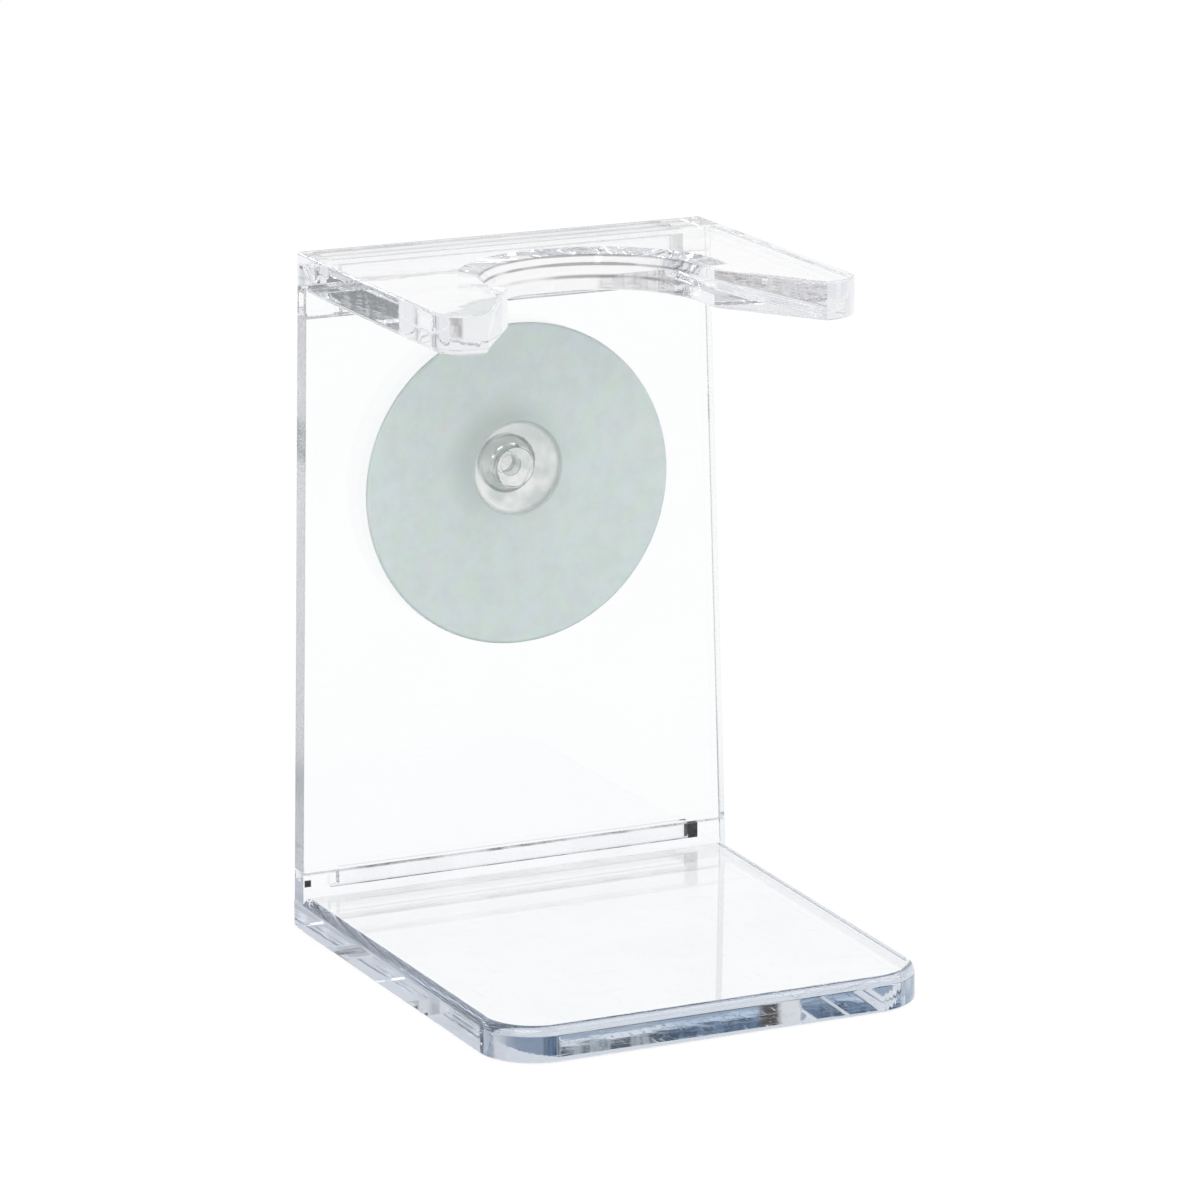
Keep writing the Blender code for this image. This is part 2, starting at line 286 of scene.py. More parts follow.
class Tree:
    """A node tree that is written as expressions."""

    def __init__(self, tree):
        self.tree = tree
        tree.nodes.clear()

    def node(self, kind, settings=None, sockets=None, output=0):
        """One node: its settings come first, then the values or links of its sockets."""
        made = self.tree.nodes.new(kind)
        for key, value in (settings or {}).items():
            setattr(made, key, value)
        for key, value in (sockets or {}).items():
            if isinstance(value, Value):
                self.tree.links.new(value.socket, made.inputs[key])
            else:
                made.inputs[key].default_value = value
        return Value(self, made.outputs[output]) if made.outputs else made

    def place(self, scale=(1.0, 1.0, 1.0), turn=(0.0, 0.0, 0.0), shift=(0.0, 0.0, 0.0)):
        """Object coordinates in metres, scaled, turned and shifted."""
        where = self.node("ShaderNodeTexCoord", output="Object")
        sockets = {"Vector": where, "Scale": scale, "Rotation": turn, "Location": shift}
        return self.node("ShaderNodeMapping", {"vector_type": "POINT"}, sockets)

    def noise(self, place, scale, detail, roughness):
        """Smooth noise from 0 to 1, whose patches are about 1 / scale wide."""
        sockets = {"Vector": place, "Scale": scale, "Detail": detail, "Roughness": roughness}
        return self.node("ShaderNodeTexNoise", None, sockets, output="Fac")

    def between(self, value, low, high, to_low=0.0, to_high=1.0):
        """Maps low..high to to_low..to_high, and holds the ends."""
        sockets = {"Value": value, "From Min": low, "From Max": high}
        sockets.update({"To Min": to_low, "To Max": to_high})
        return self.node("ShaderNodeMapRange", {"clamp": True}, sockets)

    def fading(self, value, full, none):
        """1 up to full, falling evenly to 0 at none."""
        return self.between(value, full, none, 1.0, 0.0)

    def blend(self, factor, first, second):
        """A mix of two colours. The Mix node's colours are its sockets 6 and 7, and output 2."""
        sockets = {0: factor, 6: first, 7: second}
        return self.node("ShaderNodeMix", {"data_type": "RGBA"}, sockets, output=2)

    def principled(self, colour, roughness, ior, transmission, normal):
        sockets = {
            "Base Color": colour,
            "Roughness": roughness,
            "IOR": ior,
            "Transmission Weight": transmission,
            "Normal": normal,
        }
        return self.node("ShaderNodeBsdfPrincipled", None, sockets)

    def mixed(self, factor, first, second):
        """A mix of two shaders."""
        return self.node("ShaderNodeMixShader", None, {0: factor, 1: first, 2: second})

    def bump(self, height, strength, distance):
        sockets = {"Strength": strength, "Distance": distance, "Height": height}
        return self.node("ShaderNodeBump", None, sockets)

    def axes(self):
        """The object's x, y and z in metres, as three values."""
        where = self.node("ShaderNodeTexCoord", output="Object")
        split = self.node("ShaderNodeSeparateXYZ", None, {0: where})
        node = split.socket.node
        return [Value(self, node.outputs[i]) for i in range(3)]


class LightPath:
    """How a ray came here: seen by the camera, mirrored, let through, or guided in acrylic.

    A turned ray was mirrored once or more before it left the acrylic, and a guided one twice.
    """

    def __init__(self, tree):
        path = tree.node("ShaderNodeLightPath").socket.node
        self.seen = Value(tree, path.outputs["Is Camera Ray"])
        self.mirrored = Value(tree, path.outputs["Is Glossy Ray"])
        self.through = Value(tree, path.outputs["Is Transmission Ray"])
        mirrors = Value(tree, path.outputs["Glossy Depth"])
        self.turned = mirrors.above(0.5) * self.through
        self.guided = mirrors.above(1.5) * self.through


def new_material(name):
    material = bpy.data.materials.new(name)
    material.use_nodes = True
    return material, Tree(material.node_tree)


def acrylic(name, tint, absorbed, wear, waves, seams, joint_shade=False, lip=None, sides=None):
    """Polished clear acrylic with hairline scratches, polishing waves and a body tint.

    A way s through it keeps exp(-a s) of each colour, where a is absorbed, for one metre. Dried
    cement shows in patches within a hair of each seam's height, and fills one end of a groove.

    With the joint's shade, a painted shade darkens the top towards the panel, with the square of
    the nearness. With lip, painted dark lines along the seat's lip join it. With sides, which are
    half the width on the ground and what it gains for each metre of height, the sawn sides are
    finely matt.
    """
    material, tree = new_material(name)
    fine = tree.place(scale=(1.0, 0.12, 1.0), turn=(0.0, 0.0, 0.6))
    fine = tree.noise(fine, scale=1400.0, detail=3.0, roughness=0.6)
    cross = tree.place(scale=(0.1, 1.0, 1.0), turn=(0.0, 0.0, -0.3))
    cross = tree.noise(cross, scale=1100.0, detail=3.0, roughness=0.6)
    hairline = tree.between(fine.largest(cross), 0.62, 0.74)
    smear = tree.noise(tree.place(), scale=60.0, detail=4.0, roughness=0.6)
    smear = tree.between(smear, 0.45, 0.75)
    roughness = hairline * (0.10 * wear) + smear * (0.02 * wear)
    if sides:
        on_ground, gain = sides
        sawn_roughness = 0.22
        x, _, z = tree.axes()
        outside = x.size() - z * gain - on_ground
        sawn = tree.between(outside, -0.10 * MM, -0.02 * MM)
        roughness = roughness + sawn * sawn_roughness
    slow = tree.noise(tree.place(), scale=45.0, detail=1.0, roughness=0.4)
    quick = tree.place(scale=(1.0, 1.0, 0.6))
    quick = tree.noise(quick, scale=260.0, detail=1.0, roughness=0.4)
    stroke = tree.place(scale=(0.03, 0.03, 1.0))
    stroke = tree.noise(stroke, scale=1500.0, detail=2.0, roughness=0.6)
    height = slow * (0.6 * waves) + quick * (0.5 * waves) + stroke * (0.10 * waves)
    normal = tree.bump(height, strength=1.0, distance=0.03 * MM)
    worn_and_shaded = tuple(0.90 * share for share in tint)
    # Darkening by scratches and smears, to which the painted shade and lip lines are added below
    wear_and_shade = (hairline * 0.8 + smear * 0.4) * wear
    if joint_shade:
        # Painted shade on the top in front of the panel's foot, darker towards the panel
        _, y, z = tree.axes()
        spread = tree.between(y, PANEL_FRONT - 7.0 * MM, PANEL_FRONT - 0.5 * MM) ** 2.0
        spread = spread * tree.fading(y, PANEL_FRONT - 0.1 * MM, PANEL_FRONT)
        wear_and_shade = wear_and_shade + spread * (smear * 0.5 + 0.8) * z.above(5.0 * MM)
    if lip:
        # Painted dark lines along the seat's lip, standing for its dark refraction
        wear_and_shade = wear_and_shade + painted_lip_lines(tree, *lip)
    # Past 1, the darkening by scratches and painted shade goes on towards a dark grey
    scored_and_shaded = (0.22, 0.20, 0.20, 1.0)
    colour = tree.blend(wear_and_shade.smallest(1.0), (*tint, 1.0), (*worn_and_shaded, 1.0))
    colour = tree.blend(((wear_and_shade - 1.0) * 0.33).largest(0.0), colour, scored_and_shaded)
    clear = tree.principled(colour, roughness, ACRYLIC_IOR, transmission=1.0, normal=normal)
    density = max(absorbed) * 1.25
    kept = tuple(1.0 - loss / density for loss in absorbed)
    sockets = {"Color": (*kept, 1.0), "Density": density}
    volume = tree.node("ShaderNodeVolumeAbsorption", None, sockets)
    cement, fill = dried_cement(tree, seams)
    surface = tree.mixed(fill, clear, cement)
    tree.node("ShaderNodeOutputMaterial", None, {"Surface": surface, "Volume": volume})
    return material


def painted_lip_lines(tree, centre_y, radius, width, top, foot):
    """Painted dark lines for the dark refraction along the seat's lip, stronger and fainter by
    patches.

    The upper one is where the distance to the opening's centre is the lip's outer radius, and the
    lower one where it is the opening's radius, each at its own height. A third, fainter one runs
    on the wall below them. They lie behind the opening's centre and darken to the right.
    """
    wall_drop = 1.9 * MM
    x, y, z = tree.axes()
    across = y - centre_y
    reach = (x * x + across * across) ** 0.5
    upper = (reach - radius - width).size().largest((z - top).size())
    lower = (reach - radius).size().largest((z - foot).size())
    wall = (reach - radius).size().largest((z - foot + wall_drop).size())
    near = tree.fading(upper.smallest(lower), 0.10 * MM, 0.32 * MM)
    near = near.largest(tree.between(wall, 0.10 * MM, 0.45 * MM, 0.6, 0.0))
    near = near * tree.between(y, 0.0, 8.0 * MM)
    strength = tree.noise(tree.place(), scale=90.0, detail=2.0, roughness=0.6)
    strength = tree.between(strength, 0.40, 0.60, 1.5, 4.5)
    return near * strength * tree.between(x, -6.0 * MM, 14.0 * MM, 1.0, 2.2)


def dried_cement(tree, seams):
    """Grey cement in patches along each seam, a dark plug in its right end and one dark drop.

    Each seam is (height, tongue's half length, groove's half length, lowest, highest, amount),
    and both its line and its plug get that amount. A line follows the seam at the front, and the
    groove's floor at its near corner. The drop sits on the front, near the lower seam's left end.
    """
    x, y, z = tree.axes()
    patch = tree.place(scale=(1.0, 0.3, 0.2))
    patch = tree.noise(patch, scale=130.0, detail=3.0, roughness=0.6)
    patch = tree.between(patch, 0.44, 0.62)
    across = tree.fading((y - PANEL_MIDDLE).size(), 1.05 * MM, 1.15 * MM)
    fill = None
    plug = None
    front = tree.fading(y, PANEL_FRONT + 0.5 * MM, PANEL_FRONT + 0.8 * MM)
    edge = (y - PANEL_MIDDLE + 0.85 * MM).size()
    edge = tree.fading(edge, 0.25 * MM, 0.35 * MM)
    for height, tongue, groove, low, high, amount in seams:
        line = tree.fading((z - height).size(), 0.12 * MM, 0.16 * MM) * front
        floor = (z - low).size().smallest((z - high).size())
        line = line.largest(tree.fading(floor, 0.12 * MM, 0.16 * MM) * edge)
        line = line * (patch * 0.7 + 0.2) * amount
        inside = x.above(tongue - 0.05 * MM) * (groove + 0.05 * MM - x).above(0.0)
        inside = inside * z.above(low) * (high - z).above(0.0) * across * amount
        fill = line if fill is None else fill.largest(line)
        plug = inside if plug is None else plug.largest(inside)
    drop = (x - DROP_X).size().largest((z - DROP_Z).size())
    drop = tree.fading(drop, 0.48 * MM, 0.60 * MM)
    drop = drop * (PANEL_FRONT + 0.2 * MM - y).above(0.0)
    plug = plug.largest(drop)
    grain = tree.noise(tree.place(), scale=900.0, detail=3.0, roughness=0.6)
    deep_grey = (0.24, 0.23, 0.23, 1.0)
    pale_grey = (0.42, 0.41, 0.41, 1.0)
    black = (0.02, 0.02, 0.022, 1.0)
    grey = tree.blend(tree.between(grain, 0.3, 0.7), deep_grey, pale_grey)
    colour = tree.blend(plug, grey, black)
    sockets = {"Base Color": colour, "Roughness": tree.between(grain, 0.3, 0.7, 0.4, 0.7)}
    cement = tree.node("ShaderNodeBsdfPrincipled", None, sockets)
    return cement, fill.largest(plug)


def vinyl(name, milky, boss_radius):
    """Soft vinyl: a milky, finely matt disc round a polished, clear boss.

    The disc has a painted shade round the boss, offset to its upper left and strongest there, for
    the boss's shade seen through the disc. The boss has paler and darker sectors, which are noise
    on its angle, and a painted shade darkens its top.
    """
    material, tree = new_material(name)
    x, _, z = tree.axes()
    dx = x - CUP_AXIS.x
    dz = z - CUP_AXIS.z
    radius = (dx * dx + dz * dz) ** 0.5
    clear = tree.fading(radius, boss_radius - 0.6 * MM, boss_radius + 0.3 * MM)
    cloud = tree.noise(tree.place(), scale=380.0, detail=4.0, roughness=0.65)
    hue = tree.place(shift=(0.3, 0.0, 0.1))
    hue = tree.noise(hue, scale=300.0, detail=3.0, roughness=0.65)
    rose = tree.place(shift=(0.1, 0.2, 0.4))
    rose = tree.noise(rose, scale=220.0, detail=3.0, roughness=0.65)
    grain = tree.noise(tree.place(), scale=2600.0, detail=2.0, roughness=0.6)

    def tinted(red, green, blue):
        return milky[0] * red, milky[1] * green, milky[2] * blue, 1.0

    green = tinted(0.96, 1.015, 0.97)
    blue = tinted(0.985, 0.99, 1.05)
    milk = tree.blend(tree.between(hue, 0.40, 0.60), green, blue)
    milk = tree.blend(tree.between(rose, 0.54, 0.70, 0.0, 0.7), milk, tinted(1.05, 0.98, 1.0))
    milk = tree.blend(tree.between(cloud, 0.40, 0.65, 0.0, 0.45), milk, tinted(0.86, 0.86, 0.86))
    # Painted shade round the boss, offset to its upper left and strongest there, for the boss's
    # shade seen through the disc
    left = dx + 1.4 * MM
    above = dz - 1.2 * MM
    shade = tree.fading((left * left + above * above) ** 0.5, 7.0 * MM, 10.8 * MM)
    shade = shade * tree.between(dz - dx, -12.0 * MM, 10.0 * MM, 0.35, 1.0)
    colour = tree.blend(shade * 0.65, milk, tinted(0.70, 0.72, 0.71))
    matt = tree.between(grain, 0.3, 0.7, 0.34, 0.46)
    skin = tree.bump(grain, strength=0.15, distance=0.02 * MM)
    disc = tree.principled(colour, matt, VINYL_IOR, transmission=0.35, normal=skin)
    around = tree.node("ShaderNodeMath", {"operation": "ARCTAN2"}, {0: dz, 1: dx})
    spokes = tree.node("ShaderNodeCombineXYZ", None, {0: around, 1: radius * 200.0, 2: 0.0})
    sector_and_shade = tree.noise(spokes, scale=1.1, detail=2.0, roughness=0.5)
    sector_and_shade = tree.between(sector_and_shade, 0.40, 0.60)
    # Painted shade: the pale sectors fade towards the boss's top, which is darker
    sector_and_shade = sector_and_shade * tree.between(dz, -4.0 * MM, 5.0 * MM, 1.0, 0.35)
    inner = tree.blend(sector_and_shade, (0.60, 0.64, 0.625, 1.0), (0.84, 0.85, 0.84, 1.0))
    bloom = tree.between(radius, 2.2 * MM, 3.4 * MM, 0.0, 0.03)
    polish = tree.between(grain, 0.3, 0.8, 0.03, 0.12) + bloom
    ripple = tree.bump(cloud, strength=0.4, distance=0.05 * MM)
    boss = tree.principled(inner, polish, VINYL_IOR, transmission=1.0, normal=ripple)
    tree.node("ShaderNodeOutputMaterial", None, {"Surface": tree.mixed(clear, disc, boss)})
    return material


# Settings


def length(name, description, default):
    """A property that holds a length in metres."""
    return bpy.props.FloatProperty(
        name=name, description=description, default=default, unit="LENGTH"
    )


def angle(name, description, degrees):
    """A property that holds an angle, given here in degrees."""
    return bpy.props.FloatProperty(
        name=name, description=description, default=math.radians(degrees), subtype="ANGLE"
    )


class StandSizes(bpy.types.PropertyGroup):
    """Sizes that the pieces share."""

    foot_width: length("Foot width", "Width of the stand on the ground", 0.072)
    head_width: length("Head width", "Width of the fork", 0.0668)
    head_step: length("Head step", "How far the fork stands out past the panel", 0.0001)
    edge_break: length("Edge break", "Radius of the panel's upright edges", 0.00025)
    groove_inset: length("Groove inset", "From the panel's side to a groove's end", 0.0046)
    groove_width: length("Groove width", "Width of a groove across the panel", 0.002)
    groove_depth: length("Groove depth", "Depth of a groove from its seam", 0.0026)
    cement_gap: length("Cement gap", "Gap round a tongue and at a seam", 0.0003)
    end_play: length("End play", "Gap past each end of a tongue", 0.0016)

    def half_width(self, z):
        """Half the panel's width, which narrows evenly from the ground to the fork's top."""
        top = self.head_width - 2 * self.head_step
        return 0.5 * (self.foot_width + (top - self.foot_width) * z / FORK_HIGH.z)


class BaseSizes(bpy.types.PropertyGroup):
    """Sizes of the base plate."""

    front_width: length("Front width", "Width across the front", 0.069)
    thickness: length("Thickness", "Thickness of the plate", 0.0053)
    corner_radius: length("Corner radius", "Radius of the front corners", 0.009)
    top_round: length("Top round", "Radius of the upper edge", 0.0014)
    foot_round: length("Foot round", "Radius of the lower edge", 0.0003)


class ForkSizes(bpy.types.PropertyGroup):
    """Sizes of the fork and its opening."""

    thickness: length("Thickness", "Thickness of the plate", 0.0059)
    corner_radius: length("Corner radius", "Radius of the front corners", 0.0055)
    top_round: length("Top round", "Radius of the upper outer edge", 0.0004)
    under_round: length("Under round", "Radius of the lower outer edge", 0.001)
    mouth_round: length("Mouth round", "Radius of the opening's edges", 0.00025)
    setback: length("Setback", "From the panel's back to the opening's centre", 0.0345)
    radius: length("Radius", "Radius of the opening", 0.0166)
    cheek: length("Cheek", "Length of the straight cheeks", 0.0055)
    tip_width: length("Tip width", "Width of each tip", 0.0066)
    seat_width: length("Seat width", "Width of the conical seat", 0.0032)
    seat_depth: length("Seat depth", "Depth of the conical seat", 0.0006)
    seat_reach: length("Seat reach", "From the opening's centre to the stops", 0.003)
    lip_width: length("Lip width", "Width of the seat's lip", 0.0005)
    lip_depth: length("Lip depth", "Depth of the seat's lip", 0.0013)


class CupSizes(bpy.types.PropertyGroup):
    """Sizes of the suction cup."""

    radius: length("Radius", "Radius of the disc", 0.025)
    drop: length("Drop", "From the neck's axis down to the disc's centre", 0.0024)
    edge: length("Edge", "Thickness of the disc's edge", 0.0011)
    hollow: length("Hollow", "Depth of the sucking side", 0.0005)
    back_gap: length("Back gap", "From the panel to the disc", 0.0009)
    boss_radius: length("Boss radius", "Radius of the boss behind the disc", 0.00725)
    boss_sink: length("Boss sink", "How far the boss lies below the disc", 0.00015)
    boss_gap: length("Boss gap", "Gap at the panel's front and back", 0.0003)
    neck_radius: length("Neck radius", "Radius of the neck", 0.003)
    neck_clearance: length("Neck clearance", "Gap between the neck and its hole", 0.00008)
    button_overhang: length("Button overhang", "How far the button passes the neck", 0.0016)
    button_height: length("Button height", "Height of the button", 0.0022)
    core_radius: length("Core radius", "Radius of the hollow in the button", 0.0017)
    core_depth: length("Core depth", "Depth of the hollow in the button", 0.0039)
    colour: bpy.props.FloatVectorProperty(
        name="Colour",
        description="Colour of the milky vinyl",
        default=(0.66, 0.73, 0.71),
        subtype="COLOR",
    )


class StudioSettings(bpy.types.PropertyGroup):
    """The camera and the light."""

    lens: bpy.props.FloatProperty(
        name="Lens", description="Focal length on a 36 mm sensor", default=171.9
    )
    yaw: angle("Yaw", "Turn to the right of straight ahead", 24.5372)
    pitch: angle("Pitch", "Downward tilt", 14.1132)
    roll: angle("Roll", "Roll about the view", -0.3831)
    eye: bpy.props.FloatVectorProperty(
        name="Eye",
        description="Where the camera stands",
        default=(-0.34251, -0.74690, 0.26299),
        subtype="TRANSLATION",
    )
    soft_light: bpy.props.FloatProperty(
        name="Soft light", description="Power of each soft box in watts", default=6.0
    )


# Pieces


class BuildBase(bpy.types.Operator):
    """Build the base plate with its upstand and groove"""

    bl_idname = "brush_stand.base"
    bl_label = "Base plate"

    def execute(self, context):
        base = context.scene.brush_stand_base
        sizes = context.scene.brush_stand_sizes
        points, inward = self.outline(base, sizes)
        under = quarter(base.foot_round, count=6)
        over = quarter(base.top_round, count=20)[::-1]
        over[:, 1] = base.thickness - over[:, 1]
        piece = new_piece("base_plate", swept(points, inward, np.concatenate([under, over])))
        seam = BASE_HIGH.z
        combine(piece, tapered_slab("upstand", sizes, base.thickness / 2, seam), "UNION")
        floor = seam - sizes.groove_depth
        groove = tongue_block("lower_groove", sizes, seam, floor, seam + MM)
        combine(piece, groove, "DIFFERENCE")
        seams = (groove_seam(sizes, seam, floor, seam + 0.1 * MM, amount=1.0),)
        look = acrylic(
            "base_acrylic",
            tint=(0.99, 0.995, 1.0),
            absorbed=(4.2, 3.6, 2.8),
            wear=1.0,
            waves=0.03,
            seams=seams,
            # The top gets a painted shade in front of the panel's foot
            joint_shade=True,
        )
        dress(piece, look, "stand", "base_tray")
        return {"FINISHED"}

    @staticmethod
    def outline(base, sizes):
        """Square at the rear and round at the front. The sides taper from the panel forwards."""
        back = sizes.foot_width / 2
        front = base.front_width / 2
        depth = BASE_HIGH.y - BASE_LOW.y
        slope = (back - front) / (depth - PANEL_THICKNESS)
        lean = math.atan(slope)
        radius = base.corner_radius
        centre = (front + slope * radius - radius / math.cos(lean), BASE_LOW.y + radius)
        small = sizes.edge_break
        rear, rear_in = corner((back - small, REAR - small), small, 90, 0)
        start = np.array([[back, PANEL_FRONT]])
        start_in = np.array([[-1.0, 0.0]])
        turn, turn_in = corner(centre, radius, -math.degrees(lean), -90, count=40)
        right = np.concatenate([rear, start, turn])
        right_in = np.concatenate([rear_in, start_in, turn_in])
        mirror = np.array([-1.0, 1.0])
        points = np.concatenate([right, right[::-1] * mirror])
        return points, np.concatenate([right_in, right_in[::-1] * mirror])


class BuildPanel(bpy.types.Operator):
    """Build the back panel with its tongues and the hole for the cup"""

    bl_idname = "brush_stand.panel"
    bl_label = "Back panel"

    def execute(self, context):
        sizes = context.scene.brush_stand_sizes
        cup = context.scene.brush_stand_cup
        gap = sizes.cement_gap
        lower = BASE_HIGH.z
        upper = FORK_LOW.z
        reach = sizes.groove_depth - gap
        piece = tapered_slab("clear_panel", sizes, lower + gap, upper - gap)
        foot = tongue_block("foot", sizes, lower, lower - reach, lower + MM, sizes.end_play, gap)
        combine(piece, foot, "UNION")
        head = tongue_block("head", sizes, upper, upper - MM, upper + reach, sizes.end_play, gap)
        combine(piece, head, "UNION")
        radius = cup.neck_radius + cup.neck_clearance
        chamfer = 0.2 * MM
        profile = np.array(
            [
                (radius + chamfer + MM, -PANEL_THICKNESS - MM),
                (radius, -PANEL_THICKNESS + chamfer),
                (radius, -chamfer),
                (radius + chamfer + MM, MM),
            ]
        )
        hole = new_piece("hole", revolved(profile, np.zeros(len(profile)), count=128))
        combine(piece, hole, "DIFFERENCE")
        depth = sizes.groove_depth
        seams = (
            groove_seam(sizes, lower, lower - depth, lower + 0.1 * MM, amount=1.0),
            groove_seam(sizes, upper, upper - 0.1 * MM, upper + depth, amount=0.4),
        )
        on_ground = sizes.half_width(0.0)
        look = acrylic(
            "panel_acrylic",
            tint=(0.99, 0.995, 1.0),
            absorbed=(3.0, 2.9, 2.6),
            wear=0.2,
            waves=0.15,
            seams=seams,
            sides=(on_ground, (sizes.half_width(MM) - on_ground) / MM),
        )
        dress(piece, look, "stand", "back_panel")
        return {"FINISHED"}


class BuildFork(bpy.types.Operator):
    """Build the fork with its opening, seat, stops and skirt"""

    bl_idname = "brush_stand.fork"
    bl_label = "Brush fork"

    def execute(self, context):
        fork = context.scene.brush_stand_fork
        sizes = context.scene.brush_stand_sizes
        piece = new_piece("clear_fork", self.plate(fork, sizes))
        skirt = tapered_slab("skirt", sizes, FORK_LOW.z, FORK_HIGH.z - fork.top_round)
        combine(piece, skirt, "UNION")
        seam = FORK_LOW.z
        ceiling = seam + sizes.groove_depth
        groove = tongue_block("upper_groove", sizes, seam, seam - MM, ceiling)
        combine(piece, groove, "DIFFERENCE")
        seams = (groove_seam(sizes, seam, seam - 0.1 * MM, ceiling, amount=0.4),)
        lip_top = FORK_HIGH.z - fork.seat_depth
        # Where the painted dark lines along the seat's lip lie
        lip = (REAR - fork.setback, fork.radius, fork.lip_width, lip_top, lip_top - fork.lip_depth)
        look = acrylic(
            "fork_acrylic",
            tint=(0.99, 0.99, 0.995),
            absorbed=(2.4, 2.3, 2.1),
            wear=0.5,
            waves=0.5,
            seams=seams,
            lip=lip,
        )
        dress(piece, look, "stand", "brush_fork", sharp=9.5)
        return {"FINISHED"}

    @staticmethod
    def plate(fork, sizes):
        """Rows of loops round the C, top first.

        A column at an outer or cheek edge is the edge's point plus the inward vector times the
        profile's inset. A column at the seat is the opening's point moved away from its centre by
        the cone's radius. All columns share the height where the seat ends, so that they join.
        """
        top = FORK_HIGH.z
        under = top - fork.thickness
        half = sizes.head_width / 2
        front = FORK_LOW.y
        centre_y = REAR - fork.setback
        radius = fork.radius
        small = sizes.edge_break
        seat_end = top - fork.seat_depth - fork.lip_depth
        mirror = np.array([-1.0, 1.0, 1.0])

        def edge_profile(top_round, under_round):
            over = quarter(top_round, count=11) * [1, -1] + [0, top]
            below = quarter(under_round, count=14)[::-1] + [0, under]
            return np.concatenate([over, [[0.0, seat_end]], below])

        def mitre(first, second):
            return (first + second) / (1 + first @ second)

        outer = edge_profile(fork.top_round, fork.under_round)
        inner = edge_profile(fork.mouth_round, fork.mouth_round)
        tip_radius = min(fork.corner_radius, fork.tip_width)
        rear_y = REAR - HAIR - small
        rear, rear_in = corner((half - small, rear_y), small, 90, 0)
        tip = (half - tip_radius, front + tip_radius)
        turn, turn_in = corner(tip, tip_radius, 0, -90, count=30)
        mouth = np.array([half - fork.tip_width, front])
        throat = np.array([radius, centre_y - fork.cheek])
        stop = np.array([radius, centre_y - fork.seat_reach])
        along = (throat - mouth) / np.linalg.norm(throat - mouth)
        flare_in = np.array([along[1], -along[0]])
        cheek_in = np.array([1.0, 0.0])
        inwards = [mitre(np.array([0.0, 1.0]), flare_in), mitre(flare_in, cheek_in), cheek_in]
        points = np.concatenate([rear, turn, [mouth, throat, stop]])[:, None]
        vectors = np.concatenate([rear_in, turn_in, inwards])[:, None]
        profiles = np.array([outer] * (len(rear) + len(turn) + 1) + [inner, inner])
        plain = np.concatenate([points + vectors * profiles[..., :1], profiles[..., 1:]], -1)

        share = np.linspace(0, 1, num=11)
        lip = radius + fork.lip_width
        cone = np.append(lip + fork.seat_width * (1 - share), radius)
        heights = np.append(top - fork.seat_depth * share, seat_end)
        seat_rows = len(cone)
        below = inner[seat_rows:]
        reach = np.concatenate([cone, radius + below[:, 0]])
        level = np.concatenate([heights, below[:, 1]])
        cheek_y = np.linspace(stop[1], centre_y, num=7)[:-1, None]
        flank = np.sqrt(np.maximum(reach**2 - (cheek_y - centre_y) ** 2, radius**2))
        flank[:, seat_rows:] = reach[seat_rows:]
        cheek = np.stack(np.broadcast_arrays(flank, cheek_y, level), -1)
        t = np.linspace(0, math.pi / 2, num=49)[:, None]
        ring = np.broadcast_arrays(reach * np.cos(t), centre_y + reach * np.sin(t), level)
        right = np.concatenate([plain, cheek, np.stack(ring, -1)])
        left = right[::-1][1:] * mirror
        return np.concatenate([right, left]).transpose(1, 0, 2)


